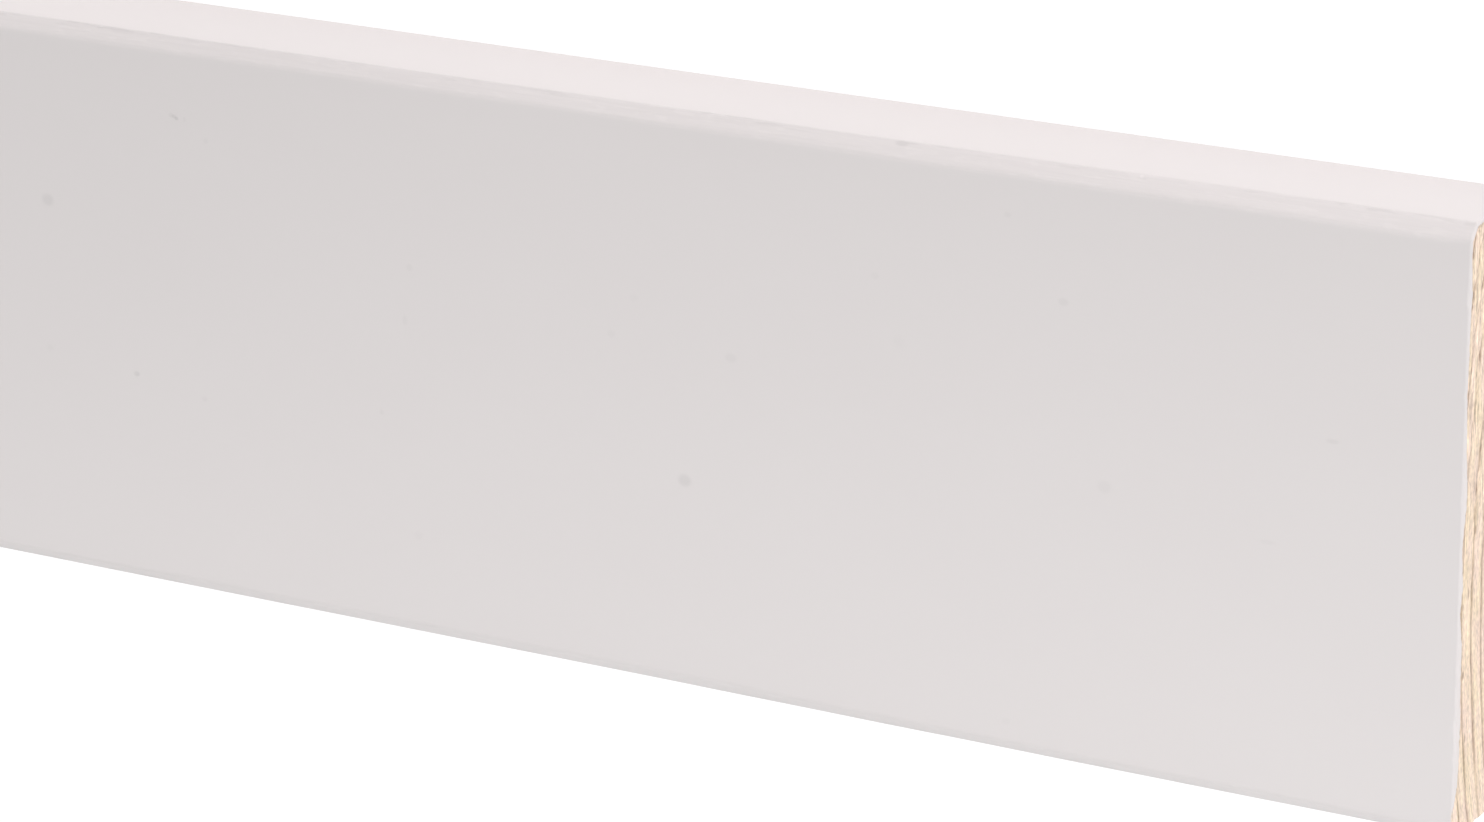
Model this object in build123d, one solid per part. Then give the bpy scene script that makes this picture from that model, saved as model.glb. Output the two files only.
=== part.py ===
from build123d import *

import os

# A length of painted softwood architrave, lying on its back.
# It is one plain board with a flat face. Both front arrises are planed off at
# 45 degrees and softened, the back arrises are barely eased, and both ends are
# sawn square.
# +X runs along the board, +Y across its width and +Z out of its face.
# The origin is the middle of the back, which lies on the floor.

# Driving sizes, in millimetres
LENGTH = 2200.0
WIDTH = 70.0
THICKNESS = 15.0
FRONT_ARRIS = 1.6
FRONT_SOFTENING = 0.6
BACK_EASING = 0.3


def moulded_section():
    """The section that the planer leaves: back on the floor, face up."""
    with BuildSketch(Plane.YZ) as section:
        Rectangle(WIDTH, THICKNESS, align=(Align.CENTER, Align.MIN))
        back_corners = section.vertices().group_by(Axis.Y)[0]
        fillet(back_corners, BACK_EASING)
        front_corners = section.vertices().group_by(Axis.Y)[-1]
        chamfer(front_corners, FRONT_ARRIS)
        arris_corners = section.vertices().group_by(Axis.Y)[-2:]
        fillet(arris_corners[0] + arris_corners[1], FRONT_SOFTENING)
    return section.sketch


def architrave():
    """The section run out to the stock length, equally to both sides."""
    return extrude(moulded_section(), amount=LENGTH / 2, both=True)


os.makedirs("parts", exist_ok=True)
board = architrave()
board.label = "architrave"
export_step(board, "parts/architrave.step")
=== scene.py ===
import math

import bpy
import numpy as np
from mathutils import Matrix, Vector, noise


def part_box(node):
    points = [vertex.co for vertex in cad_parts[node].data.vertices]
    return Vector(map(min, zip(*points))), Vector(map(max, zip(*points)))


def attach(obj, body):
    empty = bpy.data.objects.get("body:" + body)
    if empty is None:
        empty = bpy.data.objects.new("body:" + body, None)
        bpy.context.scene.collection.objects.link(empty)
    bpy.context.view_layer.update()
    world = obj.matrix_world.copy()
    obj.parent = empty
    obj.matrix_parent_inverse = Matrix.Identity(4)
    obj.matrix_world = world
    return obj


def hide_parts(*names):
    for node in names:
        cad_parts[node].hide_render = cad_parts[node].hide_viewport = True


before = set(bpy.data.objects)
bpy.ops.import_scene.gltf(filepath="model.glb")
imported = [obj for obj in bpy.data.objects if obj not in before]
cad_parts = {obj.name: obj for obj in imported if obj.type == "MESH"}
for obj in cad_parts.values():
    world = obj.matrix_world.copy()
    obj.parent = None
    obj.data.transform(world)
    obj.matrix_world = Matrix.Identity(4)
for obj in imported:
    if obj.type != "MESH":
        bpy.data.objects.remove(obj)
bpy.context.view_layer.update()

# The looks of a length of painted softwood architrave, lying on its back.
# One closed mesh stands for the one board. Its face, arrises and edges wear
# white paint, and its sawn ends and its back are bare pine.
# +X runs along the board, +Y across its width and +Z out of its face.

board_low, board_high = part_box("architrave")

MM = 0.001

# Sizes of the section, as in the part but for the softer corner between arris and face

END = board_high.x
EDGE = board_high.y
FACE = board_high.z
FRONT_ARRIS = 1.6 * MM
EDGE_SOFTENING = 0.6 * MM
FACE_SOFTENING = 0.9 * MM
BACK_EASING = 0.3 * MM

# How the front arrises wander along the board, as shares of their width: the leg on the edge and the leg
# on the face. Upper is the arris on the +Y side.

EDGE_LEG_DRIFT = 0.12
FACE_LEG_DRIFT = 0.12
UPPER_FACE_LEG = 0.12
SLOW_LENGTH = 90 * MM
SLOW_SHARE = 1.6
QUICK_LENGTH = 16 * MM
QUICK_SHARE = 0.5
UPPER_SEED = 31
LOWER_SEED = 51
FACE_SEED_STEP = 500

# Where that wandering fades out: past the arris on the face and the edge, and at the sawn ends

FADE_START = 2.5 * MM
FADE_STOP = 6.0 * MM
END_FADE = 4.0 * MM

# How much wider the upper arris is on the edge's side, as a share, by X from the right end in millimetres

SWELL = [
    (-260, 0.0), (-190, -0.4), (-150, -0.32), (-110, -0.2),
    (-60, -0.12), (-45, 0.0), (-20, 0.14), (0, 0.05),
]

# Sizes of the mesh. A flat hold is a point just past a rounding, which keeps the flat's shading even. Top
# rows lie this far below the face, and reach is the distance in from a sawn end. A coarse ring keeps one
# flat point in so many.

ARC_STEPS = 4
FLAT_HOLD = 0.15 * MM
GRAIN_STEP = 0.27 * MM
TOP_ROWS = np.array([0.45, 0.25, 0.12, 0.0]) * MM
FINE_REACH = np.array([0.0, 0.1, 0.2, 0.32, 0.48, 0.7, 1.0, 1.4, 2.0, 2.8]) * MM
COARSE_REACH = np.array([3.8, 5.2, 7.4]) * MM
RUN_STEP = 4.0 * MM
COARSE_SKIP = 19

# Sizes of the sawn ends: the paint's film, the round of its rim, how far the bare wood lies back, and the
# least step from paint to wood

FILM = 0.12 * MM
RIM_ROUND = 0.25 * MM
END_RECESS = 0.16 * MM
PAINT_EDGE = 0.03 * MM

# Relief of the sawn ends: how deep each kind of mark goes, and the seed of its noise. Each end adds its way
# along X to the seed, 1 or -1.

RAGGED_DEPTH = 0.06 * MM
CHIP_DEPTH = 0.12 * MM
SCORING_DEPTH = 0.05 * MM
FIBRE_DEPTH = 0.05 * MM
TEAR_DEPTH = 0.14 * MM
RAGGED_SEED = 40
CHIP_SEED = 42
SCORING_SEED = 44
FIBRE_SEED = 46

# The saw tore the right end's fibres more and more from the first of these values of Y to the second, in
# millimetres

TORN_FROM = -9.0
TORN_TO = 7.0

# How far the paint has run over the rim of the right end, by Y, in millimetres. The left end has the
# same rim, turned round.

LIP = [
    (-35.0, 0.05), (-31.0, 0.05), (-28.5, 1.05), (-22.0, 1.3), (-17.0, 0.95), (-12.0, 0.95), (-8.5, 0.2),
    (-5.5, 0.75), (-1.0, 0.15), (4.5, 1.15), (9.0, 0.65), (12.5, 0.4), (17.0, 0.2), (21.0, 0.4), (24.0, 0.4),
    (27.5, 0.7), (31.0, 0.3), (35.0, 0.4),
]

# Growth rings: circles round a pith that lies behind the board. One line of latewood has this radius.

PITH_Y = -5.6 * MM
PITH_Z = -91.0 * MM
LINE_RADIUS = 99.7 * MM
RING_WIDTH = 2.42 * MM
RING_SWING = 0.16
RING_SWING_LENGTH = 1.93 * MM
LINE_SHARE = 0.94

# The texture sheet: how finely the export draws each stretch of the board

SHEET = 1024
SHEET_GAP = 5
PAINTED_STRETCHES = 3
NEAR_END = 200 * MM
NEAR_SCALE = 3.0 / MM
SAWN_SCALE = 5.6 / MM


# Small helpers


def smooth(low, high, value):
    """0 below low, 1 above high, and a smooth rise between them."""
    share = np.clip((value - low) / (high - low), 0.0, 1.0)
    return share * share * (3.0 - 2.0 * share)


def wander(places, size, seed):
    """Smooth noise from -1 to 1 at each place. Its grains are about this size along X, Y and Z."""
    shift = Vector((seed * 17.3, seed * 5.1, seed * 9.7))
    scaled = np.asarray(places) / np.asarray(size)
    return np.array([noise.noise(Vector(place) + shift) for place in scaled])


def linear(red, green, blue):
    """A colour given as sRGB numbers up to 255, for a shader's socket."""
    shares = [value / 255 for value in (red, green, blue)]
    return [s / 12.92 if s <= 0.04045 else ((s + 0.055) / 1.055) ** 2.4 for s in shares] + [1.0]


# The section. Inset is the distance in from the board's edge.

SLANT = math.sqrt(0.5)
CORNER_TANGENT = math.tan(math.radians(22.5))
ARC_WIDTH = EDGE_SOFTENING * (1 - SLANT)
ARRIS_END = FRONT_ARRIS + FACE_SOFTENING * CORNER_TANGENT


def upper_height(inset):
    """Height of the painted outline: an edge, a softened arris at 45 degrees and the face."""
    low_arc = np.sqrt(np.maximum(EDGE_SOFTENING**2 - (EDGE_SOFTENING - inset) ** 2, 0))
    high_arc = np.sqrt(np.maximum(FACE_SOFTENING**2 - (ARRIS_END - inset) ** 2, 0))
    last_slope = ARRIS_END - FACE_SOFTENING * SLANT
    arc_foot = FACE - FRONT_ARRIS - EDGE_SOFTENING * CORNER_TANGENT
    height = np.where(inset < ARC_WIDTH, arc_foot + low_arc, FACE - FRONT_ARRIS + inset)
    height = np.where(inset > last_slope, FACE - FACE_SOFTENING + high_arc, height)
    return np.where(inset >= ARRIS_END, FACE, height)


def lower_height(inset):
    """Height of the back's outline, whose corner is barely eased."""
    arc = np.sqrt(np.maximum(BACK_EASING**2 - (BACK_EASING - inset) ** 2, 0))
    return np.where(inset >= BACK_EASING, 0.0, BACK_EASING - arc)


def corner_insets():
    """Insets of the points on the front corner and on the back corner."""
    eighth = np.radians(np.linspace(0, 45, ARC_STEPS + 1))
    quarter = np.radians(np.linspace(0, 90, ARC_STEPS + 1))
    low_arc = EDGE_SOFTENING * (1 - np.cos(eighth))
    high_arc = ARRIS_END - FACE_SOFTENING * np.sin(eighth)
    middle = (low_arc[-1] + high_arc[-1]) / 2
    front = np.concatenate([low_arc, [middle], high_arc, [ARRIS_END + FLAT_HOLD]])
    back = np.concatenate([BACK_EASING * (1 - np.cos(quarter)), [BACK_EASING + FLAT_HOLD, ARRIS_END]])
    return front, back


def section_grid():
    """Y and Z of a whole section's points by column and row, and which of these a coarse ring keeps."""
    front, back = corner_insets()
    corner = np.concatenate([front, back])
    flat_steps = round((EDGE - corner.max()) / GRAIN_STEP)
    flat = np.linspace(corner.max(), EDGE, flat_steps + 1)
    inset = np.unique(np.round(np.concatenate([corner, flat]), 9))
    inset[-1] = EDGE
    on_front = np.isclose(inset[:, None], front, atol=1e-8).any(1)
    on_back = np.isclose(inset[:, None], back, atol=1e-8).any(1)
    on_flat = np.arange(len(inset)) % COARSE_SKIP == len(inset) % COARSE_SKIP
    on_flat &= inset > corner.max()
    inset = np.concatenate([inset, inset[-2::-1]])
    side = np.concatenate([-np.ones(len(on_front)), np.ones(len(on_front) - 1)])
    keep_top = np.concatenate([on_front | on_flat, (on_front | on_flat)[-2::-1]])
    keep_bottom = np.concatenate([on_back | on_flat, (on_back | on_flat)[-2::-1]])
    high = upper_height(inset)[:, None]
    low = lower_height(inset)[:, None]
    steps = round((FACE - TOP_ROWS[0]) / GRAIN_STEP)
    share = np.linspace(0, 1, steps + 1)[:-1]
    z = np.concatenate([low + share * (high - TOP_ROWS[0] - low), high - TOP_ROWS], axis=1)
    y = np.repeat((side * (EDGE - inset))[:, None], z.shape[1], axis=1)
    rows = np.arange(z.shape[1])
    keep_rows = (rows % COARSE_SKIP == 0) | (rows == 1) | (rows >= rows[-1] - 1)
    return y, z, keep_top, keep_bottom, keep_rows


def ring_cells(columns, rows):
    """Columns and rows of the outline in order: the back, one edge, the face and the other edge."""
    back = [(c, 0) for c in range(columns)]
    right = [(columns - 1, r) for r in range(1, rows)]
    top = [(c, rows - 1) for c in range(columns - 2, -1, -1)]
    left = [(0, r) for r in range(rows - 2, 0, -1)]
    return np.array(back + right + top + left)


# The sawn ends


def outline_depth(y, z):
    """How deep a point of the section lies below the painted outline."""
    inset = EDGE - np.abs(y)
    below = FACE - z
    arris = (inset + below - FRONT_ARRIS) * SLANT
    return np.minimum(np.minimum(inset, below), arris)


def rim_recess(y, z, way):
    """How far the paint's ragged rim lies behind the outermost splinter."""
    places = np.stack([y, z, np.zeros_like(y)], 1)
    ragged = np.abs(wander(places, (0.7 * MM,) * 3, RAGGED_SEED + way))
    chips = smooth(0.25, 0.5, wander(places, (2.5 * MM,) * 3, CHIP_SEED + way))
    return RAGGED_DEPTH * ragged + CHIP_DEPTH * chips


def wood_recess(y, z, way):
    """How far the bare wood lies behind the outermost splinter: saw marks and torn fibres along the rings."""
    radius = np.hypot(y - PITH_Y, z - PITH_Z)
    torn = smooth(TORN_FROM * MM, TORN_TO * MM, way * y)
    across = radius + torn * (z - PITH_Z - radius)
    places = np.stack([y, across, np.zeros_like(y)], 1)
    scoring = wander(places, (9.0 * MM, 0.5 * MM, 1.0), SCORING_SEED + way)
    fibres = wander(places, (3.0 * MM, 0.4 * MM, 1.0), FIBRE_SEED + way)
    tears = smooth(0.2, 0.45, fibres) * torn
    return END_RECESS + SCORING_DEPTH * scoring + FIBRE_DEPTH * fibres + TEAR_DEPTH * tears


def end_recess(y, z, way):
    """How far the sawn end lies behind the outermost splinter. A rim of paint has run over its edge."""
    depth = outline_depth(y, z)
    short = np.maximum(RIM_ROUND - depth, 0)
    rounded = RIM_ROUND - np.sqrt(np.maximum(RIM_ROUND**2 - short**2, 0))
    heights, widths = np.array(LIP).T * MM
    lip = FILM + np.interp(way * y, heights, widths)
    bare = smooth(lip - 0.1 * MM, lip + 0.15 * MM, depth)
    rim = rim_recess(y, z, way)
    wood = np.maximum(wood_recess(y, z, way), rim + PAINT_EDGE)
    return rounded + rim + (wood - rim) * bare


# The board


class Skin:
    """The board's points and faces as they are made, with each corner's flat place for the texture sheet."""

    def __init__(self):
        self.points = []
        self.faces = []
        self.flat = []
        self.kinds = []

    def add_points(self, places):
        first = len(self.points)
        self.points.extend(map(tuple, places))
        return np.arange(first, len(self.points))

    def add_face(self, corners, flat, kind):
        self.faces.append([int(c) for c in corners])
        self.flat.append(flat)
        self.kinds.append(kind)


def run_stations():
    """Places along the board where the texture sheet is cut."""
    painted = np.linspace(-END, END - NEAR_END, PAINTED_STRETCHES + 1)
    return painted, np.array([-END, 0.0, END])


def ring_places():
    """Places along the board that have a ring, from -X to +X, and whether each ring is fine."""
    near = np.concatenate([FINE_REACH, COARSE_REACH])
    painted, back = run_stations()
    cuts = np.unique(np.concatenate([painted[1:], back[1:-1], [near[-1] - END, END - near[-1]]]))
    run = [cuts[:1]]
    for start, stop in zip(cuts[:-1], cuts[1:]):
        steps = max(1, math.ceil((stop - start) / RUN_STEP))
        run.append(np.linspace(start, stop, steps + 1)[1:])
    places = np.concatenate([near[:-1] - END, np.concatenate(run), (END - near[:-1])[::-1]])
    fine = np.minimum(places + END, END - places) <= FINE_REACH[-1] + 1e-7
    return places, fine


def drift(x, seed):
    """Slow and quick changes along the board, from about -1 to 1."""
    slow = wander([(x, 0, 0)], (SLOW_LENGTH,) * 3, seed)[0]
    quick = wander([(x, 0, 0)], (QUICK_LENGTH,) * 3, seed + 1)[0]
    return SLOW_SHARE * slow + QUICK_SHARE * quick


def arris_shift(y, z, x):
    """Moves the outline's points so that each front arris is now a little wider, now a little narrower."""
    side = np.sign(y)
    upper = side > 0
    inset = EDGE - np.abs(y)
    below = FACE - z
    near = 1 - smooth(FADE_START, FADE_STOP, np.maximum(inset, below))
    near = near * smooth(0.0, END_FADE, END - abs(x))
    swell = np.interp((x - END) / MM, *np.array(SWELL).T)
    on_edge = EDGE_LEG_DRIFT * np.where(upper, drift(x, UPPER_SEED), drift(x, LOWER_SEED))
    on_edge = on_edge + np.where(upper, swell, 0.0)
    face_seeds = (UPPER_SEED + FACE_SEED_STEP, LOWER_SEED + FACE_SEED_STEP)
    on_face = FACE_LEG_DRIFT * np.where(upper, drift(x, face_seeds[0]), drift(x, face_seeds[1]))
    on_face = on_face + np.where(upper, UPPER_FACE_LEG, 0.0)
    return y - side * inset * on_face * near, z - below * on_edge * near


def add_rings(skin, y, z, cells, along):
    """The outline at every ring, from one end to the other. Returns the point numbers of each ring."""
    places, fine = ring_places()
    ring_y = y[cells[:, 0], cells[:, 1]]
    ring_z = z[cells[:, 0], cells[:, 1]]
    rings = []
    for x, is_fine in zip(places, fine):
        moved_y, moved_z = arris_shift(ring_y, ring_z, x)
        keep = np.ones(len(cells), bool) if is_fine else along
        ring_x = np.full(len(cells), x)
        if is_fine:
            way = math.copysign(1, x)
            rim = end_recess(ring_y, ring_z, way)
            ring_x -= way * rim * (1 - (END - abs(x)) / FINE_REACH[-1])
        numbers = np.full(len(cells), -1)
        outline = np.stack([ring_x, moved_y, moved_z], 1)
        numbers[keep] = skin.add_points(outline[keep])
        rings.append(numbers)
    return rings, places


def join_rings(skin, rings, places, length, back_count):
    """Faces between neighbouring rings. Each coarse step that meets finer ones takes a fan."""
    total = len(rings[0])
    for k in range(len(rings) - 1):
        near, far = rings[k], rings[k + 1]
        x_near, x_far = places[k], places[k + 1]
        both = np.flatnonzero((near >= 0) & (far >= 0))
        steps = list(zip(both, np.append(both[1:], total)))
        for start, stop in steps:
            kind = "back" if start < back_count else "painted"
            base = length[back_count] if kind == "painted" else 0.0
            between = range(start, stop + 1)
            near_line = [(near[p % total], x_near, length[p] - base) for p in between if near[p % total] >= 0]
            far_line = [(far[p % total], x_far, length[p] - base) for p in between if far[p % total] >= 0]
            fan(skin, near_line, far_line, kind)


def fan(skin, near_line, far_line, kind):
    """Faces between two stretches of neighbouring rings, one of which has only its two end points."""
    if len(near_line) == 2 and len(far_line) == 2:
        corners = [near_line[0], near_line[1], far_line[1], far_line[0]]
        add_flat_face(skin, corners, kind)
        return
    few, many = sorted([near_line, far_line], key=len)
    flip = few is far_line
    half = (len(many) - 1) // 2
    for p in range(len(many) - 1):
        tip = few[0] if p < half else few[1]
        corners = [many[p], tip, many[p + 1]]
        add_flat_face(skin, corners[::-1] if flip else corners, kind)
    middle = [many[half], few[0], few[1]]
    add_flat_face(skin, middle[::-1] if flip else middle, kind)


def add_flat_face(skin, corners, kind):
    skin.add_face([c[0] for c in corners], [c[1:] for c in corners], kind)


def add_end(skin, y, z, cells, ring, way):
    """One sawn end: a fine relief grid whose border is the last ring."""
    columns, rows = y.shape
    numbers = np.full((columns, rows), -1)
    numbers[cells[:, 0], cells[:, 1]] = ring
    inner = numbers < 0
    recess = end_recess(y[inner], z[inner], way)
    places = np.stack([way * (END - recess), y[inner], z[inner]], 1)
    numbers[inner] = skin.add_points(places)
    kind = "end_right" if way > 0 else "end_left"
    for c in range(columns - 1):
        for r in range(rows - 1):
            square = [(c, r), (c + 1, r), (c + 1, r + 1), (c, r + 1)]
            if way < 0:
                square.reverse()
            flat = [(way * y[s], z[s]) for s in square]
            skin.add_face([numbers[s] for s in square], flat, kind)


def sheet_panels(painted_length):
    """Where each stretch lies on the texture sheet: kind, x range, corner in pixels and scale."""
    painted, back = run_stations()
    gap = SHEET_GAP
    near_height = painted_length * NEAR_SCALE
    panels = [("painted", END - NEAR_END, END, gap, gap, NEAR_SCALE)]
    beside = 2 * gap + NEAR_END * NEAR_SCALE
    for k, kind in enumerate(("end_right", "end_left")):
        top = gap + k * (FACE * SAWN_SCALE + gap)
        panels.append((kind, -END, END, beside + EDGE * SAWN_SCALE, top, SAWN_SCALE))
    row = near_height + 2 * gap
    for stations, kind, tall in ((painted, "painted", painted_length), (back, "back", 2 * EDGE)):
        for start, stop in zip(stations[:-1], stations[1:]):
            scale = (SHEET - 2 * gap) / (stop - start)
            panels.append((kind, start, stop, gap, row, scale))
            row += tall * scale + gap
    assert row <= SHEET, f"the texture sheet is {row:.0f} pixels tall"
    return panels


def sheet_places(skin, painted_length):
    """Each face corner's place on the texture sheet, from 0 to 1."""
    panels = sheet_panels(painted_length)
    found = []
    for flat, kind in zip(skin.flat, skin.kinds):
        sawn = kind.startswith("end_")
        middle = 0.0 if sawn else sum(place[0] for place in flat) / len(flat)
        panel = next(p for p in panels if p[0] == kind and p[1] <= middle <= p[2])
        start = 0.0 if sawn else panel[1]
        for along, across in flat:
            u = panel[3] + (along - start) * panel[5]
            v = panel[4] + across * panel[5]
            found.append((u / SHEET, v / SHEET))
    return found


def make_board(materials):
    """The whole board as one closed mesh. Materials go by the kind of face."""
    y, z, keep_top, keep_bottom, keep_rows = section_grid()
    columns, rows = y.shape
    cells = ring_cells(columns, rows)
    on_bottom = cells[:, 1] == 0
    on_top = cells[:, 1] == rows - 1
    along = np.where(on_bottom, keep_bottom[cells[:, 0]], keep_rows[cells[:, 1]])
    along = np.where(on_top, keep_top[cells[:, 0]], along)
    outline = np.stack([y[cells[:, 0], cells[:, 1]], z[cells[:, 0], cells[:, 1]]], 1)
    steps = np.linalg.norm(np.roll(outline, -1, 0) - outline, axis=1)
    length = np.concatenate([[0.0], np.cumsum(steps)])
    back_count = columns - 1
    skin = Skin()
    rings, places = add_rings(skin, y, z, cells, along)
    join_rings(skin, rings, places, length, back_count)
    add_end(skin, y, z, cells, rings[-1], 1)
    add_end(skin, y, z, cells, rings[0], -1)
    mesh = bpy.data.meshes.new("architrave_board")
    mesh.from_pydata(skin.points, [], skin.faces)
    names = list(dict.fromkeys(materials.values()))
    for material in names:
        mesh.materials.append(material)
    numbers = np.array([names.index(materials[kind]) for kind in skin.kinds], np.int32)
    mesh.polygons.foreach_set("material_index", numbers)
    sheet = mesh.uv_layers.new(name="OFBake")
    places_on_sheet = sheet_places(skin, length[-1] - length[back_count])
    sheet.uv.foreach_set("vector", np.array(places_on_sheet, np.float32).ravel())
    mesh.shade_smooth()
    board = bpy.data.objects.new("architrave_board", mesh)
    bpy.context.scene.collection.objects.link(board)
    return board


# Shader nodes

WHITE = [1.0, 1.0, 1.0, 1.0]


class Graph:
    """Adds shader nodes to a material or a world, and joins them."""

    def __init__(self, owner):
        owner.use_nodes = True
        self.tree = owner.node_tree
        self.tree.nodes.clear()

    def add(self, kind, inputs=None, **settings):
        """A node with these settings. Each input is a value or another node's output."""
        node = self.tree.nodes.new(kind)
        for name, value in settings.items():
            setattr(node, name, value)
        for name, value in (inputs or {}).items():
            if isinstance(value, bpy.types.NodeSocket):
                self.tree.links.new(value, node.inputs[name])
            else:
                node.inputs[name].default_value = value
        return node

    def maths(self, operation, *values):
        return self.add("ShaderNodeMath", dict(enumerate(values)), operation=operation).outputs[0]

    def vectors(self, operation, *values):
        node = self.add("ShaderNodeVectorMath", dict(enumerate(values)), operation=operation)
        return node.outputs["Value" if operation == "LENGTH" else "Vector"]

    def sum(self, *values):
        total = values[0]
        for value in values[1:]:
            total = self.maths("ADD", total, value)
        return total

    def remap(self, value, low, high, to_low=0.0, to_high=1.0, soft=False):
        """Carries low..high to to_low..to_high, and holds outside of that."""
        ends = {"From Min": low, "From Max": high, "To Min": to_low, "To Max": to_high}
        kind = "SMOOTHSTEP" if soft else "LINEAR"
        node = self.add("ShaderNodeMapRange", {"Value": value, **ends}, interpolation_type=kind)
        return node.outputs["Result"]

    def noise(self, place, size, detail=2.0, shift=0.0, colour=False):
        """Smooth noise from 0 to 1 whose grains have this size in millimetres along X, Y and Z."""
        scaled = self.vectors("MULTIPLY_ADD", place, [1 / s for s in size], [shift, 1.7 * shift, 0.6 * shift])
        node = self.add("ShaderNodeTexNoise", {"Vector": scaled, "Scale": 1.0, "Detail": detail})
        return node.outputs["Color" if colour else "Fac"]

    def blend(self, share, first, second):
        """A colour between the first one, at 0, and the second one, at 1."""
        node = self.add("ShaderNodeMix", {0: share, 6: first, 7: second}, data_type="RGBA")
        return node.outputs[2]

    def times(self, colour, factor):
        return self.vectors("SCALE", colour, (0, 0, 0), (0, 0, 0), factor)

    def place(self):
        """The place on the board in millimetres."""
        here = self.add("ShaderNodeTexCoord").outputs["Object"]
        return self.times(here, 1 / MM)

    def split(self, place):
        return self.add("ShaderNodeSeparateXYZ", {0: place}).outputs

    def join(self, x, y, z):
        return self.add("ShaderNodeCombineXYZ", {0: x, 1: y, 2: z}).outputs[0]

    def spot(self, place, centre, radii, softness=0.5):
        """1 inside an oval spot and 0 outside of it."""
        away = self.vectors("SUBTRACT", place, centre)
        distance = self.vectors("LENGTH", self.vectors("DIVIDE", away, radii))
        return self.remap(distance, 1 - softness, 1 + softness, 1.0, 0.0, soft=True)


# The board in the shaders, whose places are in millimetres: its right end, its side, its face and the
# foot of its front arrises

RIGHT_END = END / MM
SIDE = EDGE / MM
TOP = FACE / MM
ARRIS_FOOT = (FACE - FRONT_ARRIS) / MM

# Paint

PAINT_LIGHT = [0.792, 0.754, 0.750, 1.0]
PAINT_DARK = [0.786, 0.747, 0.743, 1.0]
PAINT_ROUGHNESS = 0.52

# How high the paint stands on the wood beside it, in millimetres

PAINT_STEP = 0.06

# How much painted shade darkens the paint: on the lower arris from the face to the edge, over this width in
# millimetres, and on the upper edge over its whole height, close to its arris and away from the right end

LOWER_SHADE = 0.070
SHADE_WIDTH = 1.8
EDGE_SHADE = 0.005
CLOSE_SHADE = 0.011
FAR_SHADE = 0.009

# How strong the lower arris's streaks are beside the upper one's

LOWER_STREAKS = 0.15

# A faint cloud of painted shade on the paint: X from the right end, Y, and half its length and width, in
# millimetres

SHADE_CLOUD_X = -215.0
SHADE_CLOUD_Y = 25.0
SHADE_CLOUD_LENGTH = 75.0
SHADE_CLOUD_WIDTH = 50.0
SHADE_CLOUD_DEPTH = 0.015

# Specks in the paint: x from the right end, y, radii along and across, and how dark. In millimetres.

SPECKS = [
    (-183.5, 12.4, 0.8, 0.7, 0.074),
    (-163.95, 25.2, 0.25, 0.20, 0.140),
    (-164.3, 25.4, 0.30, 0.20, 0.090),
    (-164.7, 25.5, 0.34, 0.28, 0.045),
    (-162.8, 25.2, 0.2, 0.3, 0.030),
    (-159.9, 22.9, 0.35, 0.3, 0.030),
    (-171.6, -8.0, 0.4, 0.3, 0.100),
    (-95.2, -9.0, 0.8, 0.7, 0.086),
    (-88.9, 6.8, 0.7, 0.5, 0.036),
    (-47.2, 19.7, 0.6, 0.4, 0.045),
    (-42.0, -0.9, 0.8, 0.7, 0.034),
    (-15.1, 8.8, 0.7, 0.25, 0.045),
    (-54.0, 28.7, 0.4, 0.3, 0.035),
    (-132.7, 4.7, 0.3, 0.6, 0.032),
    (-131.8, 11.3, 0.4, 0.4, 0.030),
    (-161.8, -9.7, 0.4, 0.3, 0.030),
    (-136.4, -7.3, 0.3, 0.3, 0.034),
    (-104.6, 7.3, 0.5, 0.4, 0.024),
    (-70.4, 19.3, 0.5, 0.4, 0.024),
    (-22.4, -4.0, 0.9, 0.25, 0.024),
    (-184.4, -6.6, 0.5, 0.4, 0.020),
    (-131.8, -22.1, 0.6, 0.5, 0.020),
    (-67.4, 12.0, 0.8, 0.7, 0.013),
    (-101.5, 12.1, 0.5, 0.4, 0.016),
    (-54.0, -31.0, 0.5, 0.4, 0.018),
]

# How much of the board the photo shows. Past that the specks are scattered.

SEEN_REACH = 190.0

# Nicks in the upper arris, drawn as painted shade in each dent: x from the right end, y, z, radii along and
# across, and how dark. A light one is below 0, a painted highlight. In millimetres.

NICK_SHADING = [
    (-67.5, 34.65, 13.80, 0.80, 0.32, 0.090),
    (-66.4, 34.75, 13.70, 0.90, 0.16, 0.060),
    (-38.6, 34.85, 13.55, 0.25, 0.22, -0.060),
    (-38.2, 34.70, 13.80, 0.30, 0.15, 0.030),
]


def paint_layer(g, place):
    """Colour, roughness and height of the white paint: a sprayed film over faint grain, with a few specks,
    and painted shade in a faint cloud and on and close to the front arrises.
    """
    tone = g.noise(place, (24.0, 15.0, 15.0), 3.0)
    film = g.noise(place, (2.4, 1.9, 1.9), 2.0, 3.0)
    grain = g.noise(place, (70.0, 0.55, 0.55), 2.0, 7.0)
    colour = g.blend(g.remap(tone, 0.3, 0.7), PAINT_DARK, PAINT_LIGHT)
    # Painted shade: a faint darker cloud over the paint
    shade_cloud = g.spot(place, (RIGHT_END + SHADE_CLOUD_X, SHADE_CLOUD_Y, TOP), (SHADE_CLOUD_LENGTH, SHADE_CLOUD_WIDTH, SHADE_CLOUD_WIDTH))
    dark = g.sum(paint_specks(g, place), arris_marks_and_shade(g, place))
    colour = g.times(colour, g.maths("SUBTRACT", 1.0, g.maths("MULTIPLY_ADD", shade_cloud, SHADE_CLOUD_DEPTH, dark)))
    rough = g.sum(g.remap(tone, 0.3, 0.7, -0.04, 0.04), PAINT_ROUGHNESS)
    height = g.sum(g.remap(film, 0.2, 0.8, 0.0, 0.006), g.remap(grain, 0.2, 0.8, 0.0, 0.003))
    height = g.maths("MULTIPLY_ADD", dark, 0.25, height)
    return colour, rough, height


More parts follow.
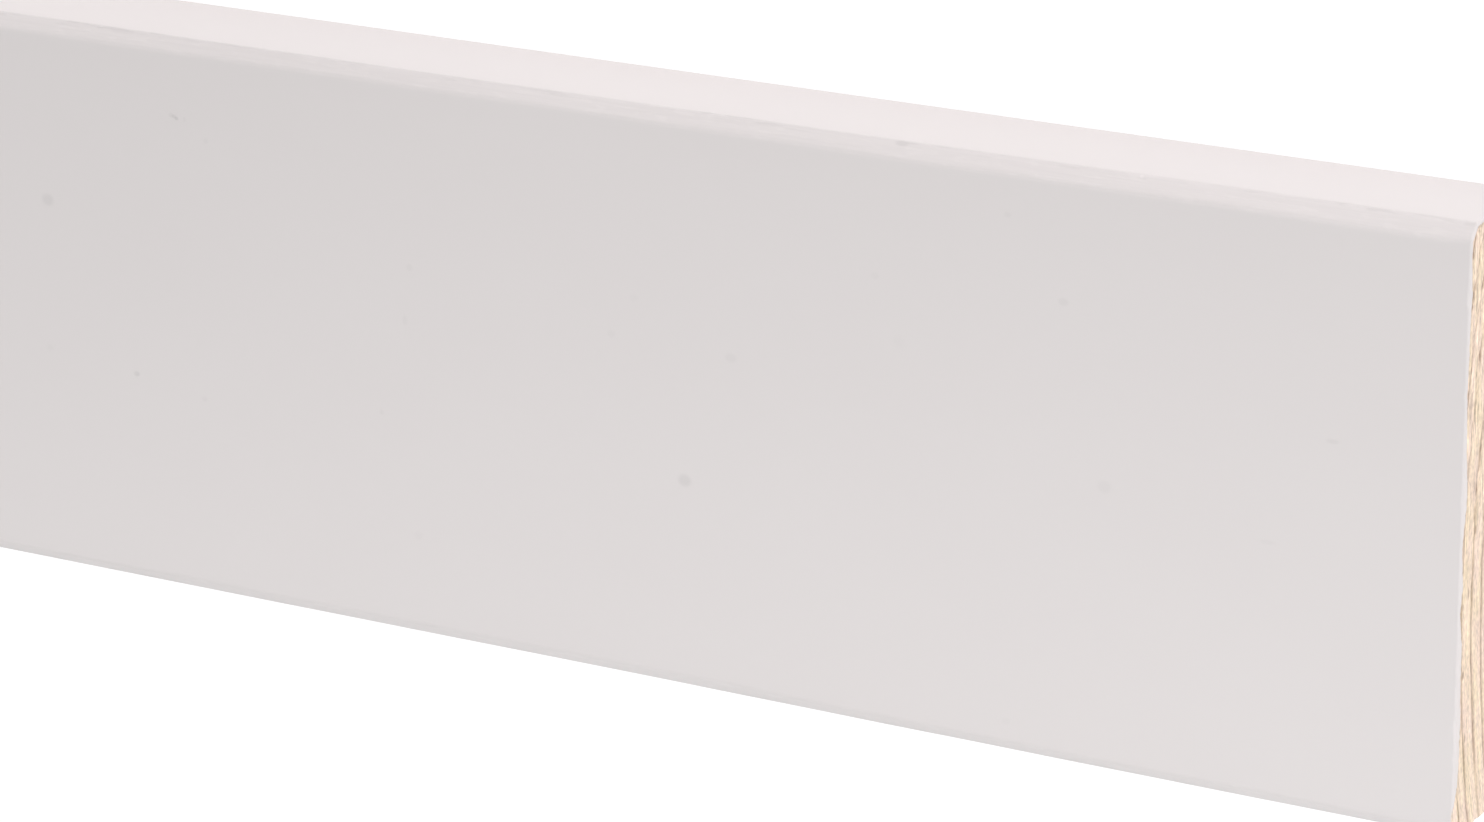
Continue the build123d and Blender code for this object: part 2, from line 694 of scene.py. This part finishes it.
def arris_marks_and_shade(g, place):
    """How much darker the paint is on and close to the front arrises: streaks where it lies thin, and painted
    shade in the crease, the nicks and off the arrises.
    """
    y = g.split(place)["Y"]
    facing = g.split(g.add("ShaderNodeTexCoord").outputs["Normal"])
    sloping = g.maths("MULTIPLY", g.maths("ABSOLUTE", facing["Y"]), facing["Z"])
    on_arris = g.remap(sloping, 0.1, 0.4, soft=True)
    inset = g.maths("SUBTRACT", SIDE, g.maths("ABSOLUTE", y))
    lower = g.maths("LESS_THAN", y, 0.0)
    streaks = g.remap(g.noise(place, (16.0, 0.4, 0.4), 3.0, 51.0), 0.4, 0.7, 0.022, 0.05)
    streaks = g.maths("MULTIPLY", streaks, g.maths("MULTIPLY_ADD", lower, LOWER_STREAKS - 1.0, 1.0))
    blotches = g.remap(g.noise(place, (2.6, 0.6, 0.6), 2.0, 61.0), 0.54, 0.66, 0.0, -0.022)
    patches = g.remap(g.noise(place, (11.0, 8.0, 8.0), 1.0, 53.0), 0.44, 0.56)
    marks = g.remap(g.noise(place, (2.6, 0.5, 0.5), 2.0, 57.0), 0.46, 0.60, 0.0, 0.055)
    # Painted shade in the crease beside the edge, broken up by the marks
    crease_shade = g.maths("MULTIPLY", g.remap(inset, 0.25, 0.6, 1.0, 0.0), patches)
    dark = g.maths("MULTIPLY_ADD", crease_shade, marks, g.sum(streaks, blotches))
    # Each nick is painted shade in its dent, or a painted highlight where its depth is below 0
    for along, across, up, length, width, depth in NICK_SHADING:
        mask = g.spot(place, (RIGHT_END + along, across, up), (length, width, width))
        dark = g.maths("MULTIPLY_ADD", mask, depth, dark)
    # Painted shade off the arrises: below, on the lower arris, and above, on the upper edge
    below = lower_shade(g, place, inset, patches)
    above = g.maths("MULTIPLY", upper_shade(g, place, inset), g.maths("SUBTRACT", 1.0, on_arris))
    shade = g.maths("MULTIPLY_ADD", lower, g.maths("SUBTRACT", below, above), above)
    return g.maths("MULTIPLY_ADD", dark, on_arris, shade)


def lower_shade(g, place, inset, patches):
    """Painted shade from the face over the lower arris, deeper in some patches."""
    z = g.split(place)["Z"]
    shade = g.remap(inset, 0.0, SHADE_WIDTH, LOWER_SHADE, 0.0)
    shade = g.maths("MULTIPLY", shade, g.remap(z, ARRIS_FOOT - 0.8, ARRIS_FOOT))
    return g.maths("MULTIPLY", shade, g.remap(patches, 0.0, 1.0, 0.8, 1.15))


def upper_shade(g, place, inset):
    """Painted shade on the upper edge: darker up its height, close to the arris and towards the left."""
    parts = g.split(place)
    whole = g.remap(parts["Z"], ARRIS_FOOT - 5.4, ARRIS_FOOT, 0.0, EDGE_SHADE)
    close = g.remap(parts["Z"], ARRIS_FOOT - 1.2, ARRIS_FOOT - 0.1, 0.0, CLOSE_SHADE)
    far = g.remap(parts["X"], RIGHT_END - 200.0, RIGHT_END - 60.0, FAR_SHADE, 0.0)
    return g.maths("MULTIPLY", g.sum(whole, close, far), g.remap(inset, 0.2, 1.0, 1.0, 0.0))


def paint_specks(g, place):
    """How much the specks darken the paint: those seen, and dust scattered over the unseen stretch."""
    dark = 0.0
    for along, across, length, width, depth in SPECKS:
        centre = (RIGHT_END + along, across, TOP)
        mask = g.spot(place, centre, (length, width, 2.0))
        dark = g.maths("MULTIPLY_ADD", mask, depth, dark)
    flat = g.vectors("MULTIPLY", place, (1 / 13, 1 / 11, 1 / 11))
    cells = g.add("ShaderNodeTexVoronoi", {"Vector": flat, "Scale": 1.0})
    chance = g.split(cells.outputs["Color"])
    radius = g.remap(chance[0], 0.55, 1.0, 0.0, 0.06)
    dust = g.maths("LESS_THAN", cells.outputs["Distance"], radius)
    dust = g.maths("MULTIPLY", dust, g.remap(chance[1], 0.0, 1.0, 0.02, 0.09))
    unseen = g.maths("LESS_THAN", g.split(place)["X"], RIGHT_END - SEEN_REACH)
    return g.maths("MULTIPLY_ADD", dust, unseen, dark)


# Softwood

EARLYWOOD = linear(243, 223, 202)
LATEWOOD = linear(184, 160, 138)
BACK_EARLYWOOD = linear(233, 213, 188)
BACK_LATEWOOD = linear(203, 170, 134)
# Dark colour of pits and dashes, also used for the painted shade in the gap past the paint's lip
PIT_AND_GAP_SHADE = linear(140, 112, 90)
PINK_TINT = [1.0, 0.985, 1.03, 1.0]
YELLOW_TINT = [1.0, 1.015, 0.95, 1.0]
WOOD_ROUGHNESS = 0.8

# The step from one mark of the planer's knife to the next, in millimetres

KNIFE_STEP = 1.8


def ring_radius(g, place, fibre, stray):
    """Distance from the pith, in millimetres. It wanders away from the right end, and each fibre strays."""
    slow = g.vectors("SUBTRACT", g.noise(place, (520.0, 90.0, 90.0), 1.0, 2.0, True), (0.5, 0.5, 0.5))
    short = g.vectors("SUBTRACT", g.noise(place, fibre, 2.0, 5.0, True), (0.5, 0.5, 0.5))
    held = g.remap(g.maths("SUBTRACT", RIGHT_END, g.split(place)["X"]), 0.0, 120.0, soft=True)
    moved = g.vectors("MULTIPLY_ADD", g.times(slow, held), (0.0, 14.0, 12.0), place)
    moved = g.vectors("MULTIPLY_ADD", short, (0.0, stray, stray), moved)
    across = g.vectors("MULTIPLY", moved, (0.0, 1.0, 1.0))
    return g.vectors("LENGTH", g.vectors("SUBTRACT", across, (0.0, PITH_Y / MM, PITH_Z / MM)))


def latewood(g, radius, rise_from):
    """How much latewood there is at this distance from the pith: 0 in the pale wood and 1 on the line."""
    past = g.maths("SUBTRACT", radius, LINE_RADIUS / MM)
    swing = g.maths("COSINE", g.maths("DIVIDE", past, RING_SWING_LENGTH / MM))
    number = g.maths("MULTIPLY_ADD", swing, RING_SWING, g.maths("DIVIDE", past, RING_WIDTH / MM))
    share = g.maths("FRACT", g.sum(number, LINE_SHARE - RING_SWING))
    rise = g.remap(share, rise_from, LINE_SHARE, soft=True)
    fall = g.remap(share, LINE_SHARE, 1.0, 1.0, 0.0, soft=True)
    return g.maths("MULTIPLY", rise, fall)


# The share of the end's noise cells that hold no scattered pit, and of the back's that hold no dark dash

PIT_FREE = 0.6
DASH_FREE = 0.5

# Dark pits on the right end: y, z, radii along Y and Z, and how dark. In millimetres.

PITS = [
    (-23.8, 12.0, 0.5, 0.20, 0.45),
    (-16.1, 13.1, 0.5, 0.26, 0.60),
    (-8.1, 13.7, 0.35, 0.18, 0.40),
    (-6.9, 12.3, 0.7, 0.18, 0.50),
    (-0.1, 10.9, 0.5, 0.24, 0.60),
    (8.9, 10.2, 0.4, 0.24, 0.50),
    (15.3, 14.2, 0.5, 0.16, 0.50),
    (18.7, 13.5, 0.4, 0.20, 0.55),
    (25.9, 14.0, 0.35, 0.25, 0.60),
    (31.5, 14.1, 0.4, 0.20, 0.45),
]


def turned_height(g, place):
    """Y on the right end, and minus Y on the left end, whose marks are the same ones turned round."""
    parts = g.split(place)
    return g.maths("MULTIPLY", parts["Y"], g.maths("SIGN", parts["X"]))


def end_layer(g, place):
    """Colour, roughness and height of a sawn end. Streaks follow the rings, or the saw where it tore them."""
    x, y, z = g.split(place)
    radius = ring_radius(g, place, (30.0, 6.0, 2.2), 0.45)
    torn = g.remap(turned_height(g, place), TORN_FROM, TORN_TO, soft=True)
    behind = g.maths("SUBTRACT", g.sum(z, -PITH_Z / MM), radius)
    along = g.join(g.maths("SIGN", x), y, g.maths("MULTIPLY_ADD", torn, behind, radius))
    streaks = g.noise(along, (1.0, 9.0, 0.24), 3.0, 11.0)
    shreds = g.noise(along, (1.0, 4.2, 0.34), 2.0, 13.0)
    flecks = g.noise(along, (1.0, 0.75, 0.28), 2.0, 27.0)
    tone = g.noise(along, (1.0, 8.0, 4.0), 2.0, 17.0)
    breaks = g.remap(g.noise(along, (1.0, 2.4, 0.7), 2.0, 19.0), 0.40, 0.55)
    whole = g.maths("SUBTRACT", 1.0, g.maths("MULTIPLY", torn, 0.7))
    uneven = g.remap(g.noise(along, (1.0, 6.0, 1.6), 2.0, 21.0), 0.35, 0.6, 0.6, 1.2)
    lines = g.maths("MULTIPLY", latewood(g, radius, 0.66), g.maths("MAXIMUM", breaks, whole))
    lines = g.maths("MULTIPLY", lines, uneven)
    colour = g.blend(lines, EARLYWOOD, LATEWOOD)
    light = g.sum(
        g.remap(streaks, 0.3, 0.7, -0.20, 0.17),
        g.maths("MULTIPLY", g.remap(shreds, 0.3, 0.7, -0.21, 0.21), g.sum(torn, 0.2)),
        g.remap(flecks, 0.3, 0.7, -0.17, 0.17),
        g.remap(tone, 0.3, 0.7, -0.03, 0.03),
        1.0,
    )
    colour = g.times(colour, light)
    yellow = g.remap(g.noise(along, (1.0, 7.0, 1.5), 2.0, 25.0), 0.38, 0.62)
    colour = g.vectors("MULTIPLY", colour, g.blend(yellow, PINK_TINT, YELLOW_TINT))
    pits = end_pits(g, place)
    colour = g.blend(pits, colour, PIT_AND_GAP_SHADE)
    height = g.sum(g.remap(streaks, 0.2, 0.8, 0.0, 0.04), g.remap(shreds, 0.2, 0.8, 0.0, 0.03))
    height = g.maths("MULTIPLY_ADD", pits, -0.12, height)
    rough = g.remap(lines, 0.0, 1.0, WOOD_ROUGHNESS, WOOD_ROUGHNESS - 0.1)
    return colour, rough, height


def end_pits(g, place):
    """Dark pits: those seen on the right end by their places, and a few small ones anywhere."""
    flat = g.vectors("MULTIPLY", place, (1 / 30, 1 / 3.4, 1 / 2.2))
    cells = g.add("ShaderNodeTexVoronoi", {"Vector": flat, "Scale": 1.0})
    chance = g.split(cells.outputs["Color"])
    radius = g.remap(chance[0], PIT_FREE, 1.0, 0.0, 0.10)
    ducts = g.remap(g.maths("SUBTRACT", cells.outputs["Distance"], radius), -0.03, 0.03, 0.5, 0.0)
    pits = g.maths("MULTIPLY", ducts, g.maths("GREATER_THAN", chance[0], PIT_FREE))
    for across, up, length, width, depth in PITS:
        mask = g.spot(place, (RIGHT_END, across, up), (3.0, length, width))
        pits = g.maths("MULTIPLY_ADD", mask, depth, pits)
    return g.maths("MINIMUM", pits, 0.9)


def lip_width(g, place):
    """How far the paint has run over the rim of an end at this height, in millimetres."""
    most = max(width for height, width in LIP)
    low, high = LIP[0][0], LIP[-1][0]
    node = g.add("ShaderNodeValToRGB", {0: g.remap(turned_height(g, place), low, high)})
    steps = node.color_ramp.elements
    for height, width in LIP[1:-1]:
        steps.new((height - low) / (high - low)).color = [width / most] * 3 + [1.0]
    steps[0].color = [LIP[0][1] / most] * 3 + [1.0]
    steps[-1].color = [LIP[-1][1] / most] * 3 + [1.0]
    return g.maths("MULTIPLY", node.outputs[0], most)


def paint_on_end(g, place):
    """Where paint has run over the rim of a sawn end: 1 on paint, and painted shade in a dark gap just inside
    of it.
    """
    parts = g.split(place)
    inset = g.maths("SUBTRACT", SIDE, g.maths("ABSOLUTE", parts["Y"]))
    below = g.maths("SUBTRACT", TOP, parts["Z"])
    arris = g.maths("MULTIPLY", g.sum(inset, below, -FRONT_ARRIS / MM), SLANT)
    depth = g.maths("MINIMUM", g.maths("MINIMUM", inset, below), arris)
    ragged = g.noise(place, (30.0, 1.6, 0.5), 3.0, 23.0)
    width = g.maths("MULTIPLY", lip_width(g, place), g.remap(ragged, 0.3, 0.7, 0.85, 1.15))
    past = g.maths("SUBTRACT", depth, g.sum(width, g.remap(ragged, 0.3, 0.7, -0.04, 0.08)))
    paint = g.remap(past, -0.12, 0.12, 1.0, 0.0, soft=True)
    # Painted shade in the gap just past the paint's lip, in patches
    gap = g.maths("MULTIPLY", g.remap(past, 0.05, 0.15), g.remap(past, 0.25, 0.55, 1.0, 0.0))
    gap = g.maths("MULTIPLY", gap, g.remap(g.noise(place, (30.0, 3.0, 3.0), 2.0, 29.0), 0.4, 0.62, 0.0, 0.6))
    return paint, g.maths("MULTIPLY", gap, g.remap(inset, 0.5, 1.5))


def back_layer(g, place):
    """Colour, roughness and height of the planed back: rings cut lengthwise, streaks and knife marks."""
    streaks = g.noise(place, (26.0, 0.24, 0.3), 3.0, 31.0)
    broad = g.noise(place, (240.0, 7.0, 7.0), 2.0, 37.0)
    rings = latewood(g, ring_radius(g, place, (24.0, 1.2, 1.2), 0.55), 0.45)
    rings = g.maths("MULTIPLY", rings, g.remap(streaks, 0.3, 0.7, 0.75, 1.0))
    colour = g.blend(rings, BACK_EARLYWOOD, BACK_LATEWOOD)
    light = g.sum(g.remap(streaks, 0.25, 0.75, -0.05, 0.05), g.remap(broad, 0.3, 0.7, -0.05, 0.05), 1.0)
    colour = g.times(colour, light)
    flat = g.vectors("MULTIPLY", place, (1 / 16, 1 / 2.1, 1 / 30))
    cells = g.add("ShaderNodeTexVoronoi", {"Vector": flat, "Scale": 1.0})
    chance = g.split(cells.outputs["Color"])
    radius = g.remap(chance[0], DASH_FREE, 1.0, 0.0, 0.12)
    dashes = g.remap(g.maths("SUBTRACT", cells.outputs["Distance"], radius), -0.03, 0.03, 0.45, 0.0)
    dashes = g.maths("MULTIPLY", dashes, g.maths("GREATER_THAN", chance[0], DASH_FREE))
    colour = g.blend(dashes, colour, PIT_AND_GAP_SHADE)
    knife = g.maths("SINE", g.maths("MULTIPLY", g.split(place)["X"], 2 * math.pi / KNIFE_STEP))
    height = g.sum(g.remap(streaks, 0.2, 0.8, 0.0, 0.02), g.maths("MULTIPLY", knife, 0.002))
    height = g.maths("MULTIPLY_ADD", rings, 0.012, height)
    rough = g.remap(rings, 0.0, 1.0, WOOD_ROUGHNESS - 0.08, WOOD_ROUGHNESS - 0.2)
    return colour, rough, height


def paint_on_back(g, place):
    """Paint that has misted round the back's corners: 1 on paint. There is no painted gap shade beside it."""
    parts = g.split(place)
    inset = g.maths("SUBTRACT", SIDE, g.maths("ABSOLUTE", parts["Y"]))
    speckle = g.noise(place, (3.0, 0.35, 0.35), 3.0, 41.0)
    broad = g.noise(place, (45.0, 6.0, 6.0), 1.0, 43.0)
    reach = g.remap(broad, 0.3, 0.7, 0.5, 3.0)
    cover = g.remap(g.maths("DIVIDE", inset, reach), 0.0, 1.0, 0.75, 0.2)
    cover = g.sum(cover, g.remap(parts["Z"], 0.02, 0.1))
    return g.remap(g.maths("SUBTRACT", cover, speckle), -0.04, 0.04), 0.0


def make_material(name, layer, paint_over=None):
    """A material of one layer, with paint over a share of it where the board has some, and painted shade in
    the gap beside that paint.
    """
    material = bpy.data.materials.new(name)
    g = Graph(material)
    place = g.place()
    colour, rough, height = layer(g, place)
    if paint_over:
        paint, gap = paint_over(g, place)
        paint_colour, paint_rough, _ = paint_layer(g, place)
        # The gap past the paint is painted shade
        colour = g.blend(gap, colour, PIT_AND_GAP_SHADE)
        colour = g.blend(paint, colour, paint_colour)
        rough = g.sum(rough, g.maths("MULTIPLY", paint, g.maths("SUBTRACT", paint_rough, rough)))
        height = g.sum(height, g.maths("MULTIPLY", paint, PAINT_STEP))
    bump = g.add("ShaderNodeBump", {"Height": height, "Distance": MM, "Strength": 1.0})
    sockets = {"Base Color": colour, "Roughness": rough, "Normal": bump.outputs[0], "IOR": 1.5}
    shader = g.add("ShaderNodeBsdfPrincipled", sockets)
    g.add("ShaderNodeOutputMaterial", {"Surface": shader.outputs[0]})
    return material


# The studio: a white floor, an even white surround, and soft lamps

AMBIENT = 0.64
FLOOR_BOUNCE = [0.9, 0.9, 0.9, 1.0]
FLOOR_SHADE = [0.2, 0.2, 0.2, 1.0]
FLOOR_GLOW = 0.9
FLOOR_REACH = 90.0
FLOOR_DROP = 0.02 * MM


def pale_rays(g):
    """1 for the rays that show the background: to the camera, by a reflection or through glass."""
    path = g.add("ShaderNodeLightPath").outputs
    seen = g.maths("MAXIMUM", path["Is Camera Ray"], path["Is Glossy Ray"])
    return g.maths("MAXIMUM", seen, path["Is Transmission Ray"])


def make_surround():
    world = bpy.data.worlds.new("surround")
    bpy.context.scene.world = world
    g = Graph(world)
    light = g.add("ShaderNodeBackground", {"Color": WHITE, "Strength": AMBIENT})
    shown = g.add("ShaderNodeBackground", {"Color": WHITE, "Strength": 1.0})
    mixed = g.add("ShaderNodeMixShader", {0: pale_rays(g), 1: light.outputs[0], 2: shown.outputs[0]})
    g.add("ShaderNodeOutputWorld", {"Surface": mixed.outputs[0]})


def make_floor():
    """A pale floor under the board. It shows white, and a little darker in the board's shadow."""
    low, high = -FLOOR_REACH, FLOOR_REACH
    corners = [(low, low), (high, low), (high, high), (low, high)]
    mesh = bpy.data.meshes.new("floor")
    mesh.from_pydata([(x, y, board_low.z - FLOOR_DROP) for x, y in corners], [], [(0, 1, 2, 3)])
    floor = bpy.data.objects.new("floor", mesh)
    bpy.context.scene.collection.objects.link(floor)
    material = bpy.data.materials.new("floor")
    material.cycles.emission_sampling = "NONE"
    g = Graph(material)
    bounce = g.add("ShaderNodeBsdfDiffuse", {"Color": FLOOR_BOUNCE})
    shade = g.add("ShaderNodeBsdfDiffuse", {"Color": FLOOR_SHADE})
    glow = g.add("ShaderNodeEmission", {"Color": WHITE, "Strength": FLOOR_GLOW})
    shown = g.add("ShaderNodeAddShader", {0: shade.outputs[0], 1: glow.outputs[0]})
    mixed = g.add("ShaderNodeMixShader", {0: pale_rays(g), 1: bounce.outputs[0], 2: shown.outputs[0]})
    g.add("ShaderNodeOutputMaterial", {"Surface": mixed.outputs[0]})
    mesh.materials.append(material)


# Lamps: place, what it is aimed at, length, height, watts, colour, and whether gloss shows it

LAMP_AIM = (0.0, 0.0, 0.01)
WARM = (1.0, 0.945, 0.95)
PLAIN = (1.0, 1.0, 1.0)
LAMPS = {
    "low_right": ((END + 1.3, 1.0, 0.12), (END - 0.05, 0.0, 0.01), 0.7, 0.16, 8.55, WARM, True),
    "low_left": ((-END - 1.3, 1.0, 0.12), (0.05 - END, 0.0, 0.01), 0.7, 0.16, 8.55, WARM, True),
    "low_behind": ((0.0, 0.6, 0.06), LAMP_AIM, 2.8, 0.08, 2.5, WARM, True),
    "overhead": ((0.0, -0.06, 0.12), LAMP_AIM, 2.6, 0.04, 0.325, PLAIN, False),
    "near_corner": ((END + 0.05, -0.08, 0.25), (END - 0.03, -0.01, 0.01), 0.1, 0.1, 0.088, PLAIN, False),
}


def aim(forward, upright):
    """A turn that looks along forward, with its own X square to upright."""
    right = forward.cross(upright).normalized()
    return Matrix((right, right.cross(forward), -forward)).transposed().to_4x4()


def make_lamps():
    for name, (place, target, length, height, watts, colour, glossy) in LAMPS.items():
        data = bpy.data.lights.new(name, "AREA")
        data.shape = "RECTANGLE"
        data.size = length
        data.size_y = height
        data.energy = watts
        data.color = colour
        lamp = bpy.data.objects.new(name, data)
        forward = (Vector(target) - Vector(place)).normalized()
        lamp.matrix_world = Matrix.Translation(place) @ aim(forward, Vector((0, 0, 1)))
        lamp.visible_camera = False
        lamp.visible_glossy = glossy
        bpy.context.scene.collection.objects.link(lamp)


# The camera

CAMERA_PLACE = Vector((1.29995, 0.20607, 0.52576))
CAMERA_AIM = Vector((1.012456, 0.000658, 0.015))
CAMERA_ROLL = math.radians(-0.7407)
CAMERA_LENS = 132.69
SENSOR_WIDTH = 36.0


def make_camera():
    """The photograph's camera, close over the board's right end. Its upright is the board's width."""
    data = bpy.data.cameras.new("camera")
    data.lens = CAMERA_LENS
    data.sensor_width = SENSOR_WIDTH
    data.clip_start = 0.05
    data.clip_end = 200.0
    turn = aim((CAMERA_AIM - CAMERA_PLACE).normalized(), Vector((0, 1, 0)))
    camera = bpy.data.objects.new("camera", data)
    camera.matrix_world = Matrix.Translation(CAMERA_PLACE) @ turn @ Matrix.Rotation(CAMERA_ROLL, 4, "Z")
    bpy.context.scene.collection.objects.link(camera)
    bpy.context.scene.camera = camera


# Making it all

painted = make_material("painted_softwood", paint_layer)
sawn = make_material("sawn_softwood_end", end_layer, paint_on_end)
planed = make_material("planed_softwood_back", back_layer, paint_on_back)
board = make_board({"painted": painted, "end_right": sawn, "end_left": sawn, "back": planed})
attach(board, "root")
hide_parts("architrave")

make_surround()
make_floor()
make_lamps()
make_camera()
bpy.context.scene.view_settings.view_transform = "Standard"
